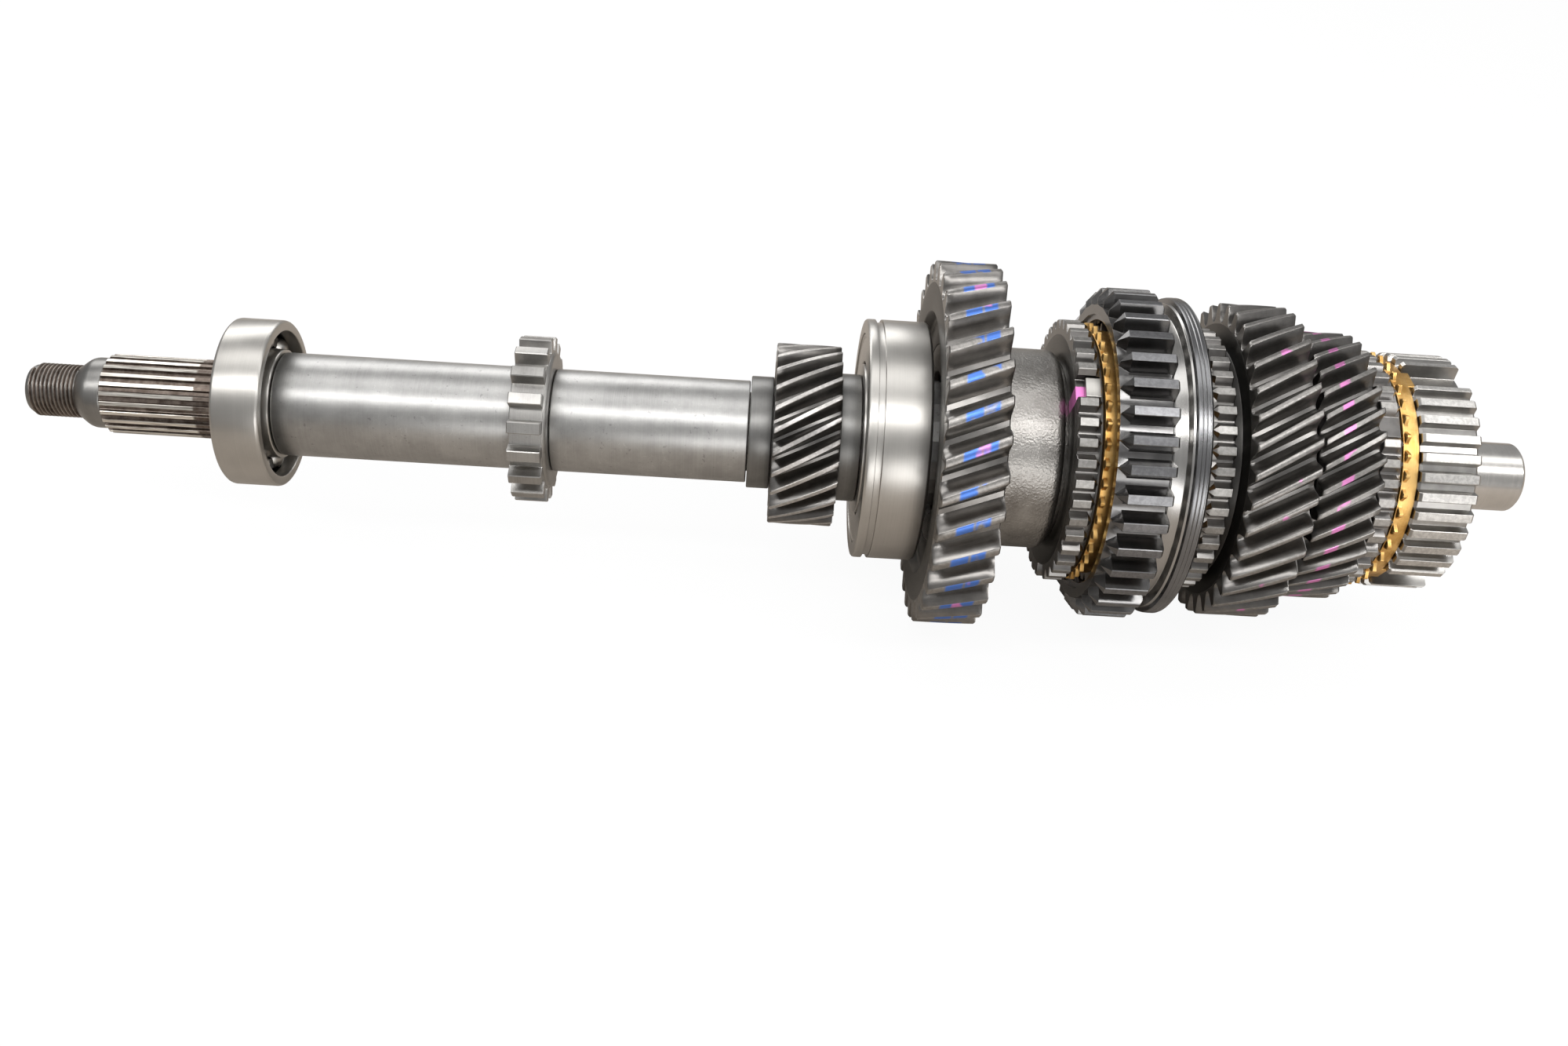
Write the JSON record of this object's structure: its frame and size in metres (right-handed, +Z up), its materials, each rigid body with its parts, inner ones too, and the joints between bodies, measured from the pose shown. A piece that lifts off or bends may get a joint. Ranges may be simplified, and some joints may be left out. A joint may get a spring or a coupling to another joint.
{
  "type": "transmission main shaft",
  "caption": "Main shaft assembly of a manual gearbox: splined output shaft with ball bearings, helical gears, brass synchro rings, hubs and a sliding sleeve with reverse teeth.",
  "frame": {"origin": "on the shaft's axis at the middle of its length", "axes": "+X along the shaft from its threaded output end to its pilot journal, +Z up as the shaft lies"},
  "size_m": [0.559, 0.136, 0.136],
  "materials": {
    "satin_steel": "satin, lightly worn",
    "ground_steel": "ground bright",
    "gear_steel": "oiled, hardened dark",
    "dark_steel": "oiled, hardened dark",
    "cage_steel": "pressed, dull",
    "synchro_brass": "machined"
  },
  "bodies": {
    "shaft": {"main_shaft": "satin_steel", "rear_bearing_inner_ring": "ground_steel", "rear_spacer_sleeve": "satin_steel", "speed_sensor_ring": "satin_steel", "front_spacer_sleeve": "satin_steel", "spacer_collar": "satin_steel", "fifth_gear": "gear_steel", "thrust_spacer": "satin_steel", "centre_bearing_inner_ring": "ground_steel", "first_gear_bush": "satin_steel", "hub_1_2": "ground_steel", "key_spring_1": "cage_steel", "key_spring_2": "cage_steel", "hub_3_4": "ground_steel", "hub_snap_ring": "cage_steel"},
    "rear_bearing_outer": {"rear_bearing_outer_ring": "ground_steel"},
    "rear_bearing_rolling": {"rear_bearing_cage": "cage_steel", "rear_bearing_ball_1": "ground_steel", "rear_bearing_ball_2": "ground_steel", "rear_bearing_ball_3": "ground_steel", "rear_bearing_ball_4": "ground_steel", "rear_bearing_ball_5": "ground_steel", "rear_bearing_ball_6": "ground_steel", "rear_bearing_ball_7": "ground_steel", "rear_bearing_ball_8": "ground_steel", "rear_bearing_ball_9": "ground_steel"},
    "centre_bearing_outer": {"centre_bearing_outer_ring": "ground_steel", "centre_bearing_shield": "ground_steel"},
    "centre_bearing_rolling": {"centre_bearing_cage": "cage_steel", "centre_bearing_ball_1": "ground_steel", "centre_bearing_ball_2": "ground_steel", "centre_bearing_ball_3": "ground_steel", "centre_bearing_ball_4": "ground_steel", "centre_bearing_ball_5": "ground_steel", "centre_bearing_ball_6": "ground_steel", "centre_bearing_ball_7": "ground_steel", "centre_bearing_ball_8": "ground_steel"},
    "first_gear_set": {"first_gear": "gear_steel", "first_gear_hub": "gear_steel", "first_clutch_ring": "gear_steel", "first_cone_ring": "ground_steel"},
    "first_needles": {"first_needle_cage": "cage_steel"},
    "second_gear_set": {"second_gear": "gear_steel"},
    "second_needles": {"second_needle_cage": "cage_steel"},
    "third_gear_set": {"third_gear": "gear_steel"},
    "third_needles": {"third_needle_cage": "cage_steel"},
    "first_synchro": {"first_synchro_ring": "synchro_brass"},
    "second_synchro": {"second_synchro_ring": "synchro_brass"},
    "third_synchro": {"third_synchro_ring": "synchro_brass"},
    "sliding_sleeve": {"sleeve_1_2": "dark_steel"},
    "shifting_keys": {"shifting_key_1": "ground_steel", "shifting_key_2": "ground_steel", "shifting_key_3": "ground_steel"}
  },
  "joints": [
    {"name": "rear_bearing_turn", "type": "hinge", "parent": "shaft", "child": "rear_bearing_outer", "pos_m": [0, 0, 0], "axis": [1, 0, 0], "continuous": true},
    {"name": "rear_bearing_roll", "type": "hinge", "parent": "shaft", "child": "rear_bearing_rolling", "pos_m": [0, 0, 0], "axis": [1, 0, 0], "continuous": true},
    {"name": "centre_bearing_turn", "type": "hinge", "parent": "shaft", "child": "centre_bearing_outer", "pos_m": [0, 0, 0], "axis": [1, 0, 0], "continuous": true},
    {"name": "centre_bearing_roll", "type": "hinge", "parent": "shaft", "child": "centre_bearing_rolling", "pos_m": [0, 0, 0], "axis": [1, 0, 0], "continuous": true},
    {"name": "first_gear_turn", "type": "hinge", "parent": "shaft", "child": "first_gear_set", "pos_m": [0, 0, 0], "axis": [1, 0, 0], "continuous": true},
    {"name": "first_needles_roll", "type": "hinge", "parent": "shaft", "child": "first_needles", "pos_m": [0, 0, 0], "axis": [1, 0, 0], "continuous": true},
    {"name": "second_gear_turn", "type": "hinge", "parent": "shaft", "child": "second_gear_set", "pos_m": [0, 0, 0], "axis": [1, 0, 0], "continuous": true},
    {"name": "second_needles_roll", "type": "hinge", "parent": "shaft", "child": "second_needles", "pos_m": [0, 0, 0], "axis": [1, 0, 0], "continuous": true},
    {"name": "third_gear_turn", "type": "hinge", "parent": "shaft", "child": "third_gear_set", "pos_m": [0, 0, 0], "axis": [1, 0, 0], "continuous": true},
    {"name": "third_needles_roll", "type": "hinge", "parent": "shaft", "child": "third_needles", "pos_m": [0, 0, 0], "axis": [1, 0, 0], "continuous": true},
    {"name": "first_synchro_float", "type": "slide", "parent": "shaft", "child": "first_synchro", "axis": [1, 0, 0], "range_m": [-0.0006, 0]},
    {"name": "second_synchro_float", "type": "slide", "parent": "shaft", "child": "second_synchro", "axis": [1, 0, 0], "range_m": [0, 0.0006]},
    {"name": "third_synchro_float", "type": "slide", "parent": "shaft", "child": "third_synchro", "axis": [1, 0, 0], "range_m": [-0.0006, 0]},
    {"name": "sleeve_slide", "type": "slide", "parent": "shaft", "child": "sliding_sleeve", "axis": [1, 0, 0], "range_m": [-0.0095, 0.0095]},
    {"name": "keys_slide", "type": "slide", "parent": "shaft", "child": "shifting_keys", "axis": [1, 0, 0], "range_m": [-0.0006, 0.0006]}
  ],
  "couplings": [
    {"joint": "rear_bearing_roll", "follows": "rear_bearing_turn", "ratio": 0.6},
    {"joint": "centre_bearing_roll", "follows": "centre_bearing_turn", "ratio": 0.61},
    {"joint": "first_needles_roll", "follows": "first_gear_turn", "ratio": 0.53},
    {"joint": "second_needles_roll", "follows": "second_gear_turn", "ratio": 0.53},
    {"joint": "third_needles_roll", "follows": "third_gear_turn", "ratio": 0.53},
    {"joint": "keys_slide", "follows": "sleeve_slide", "ratio": 0.06}
  ]
}
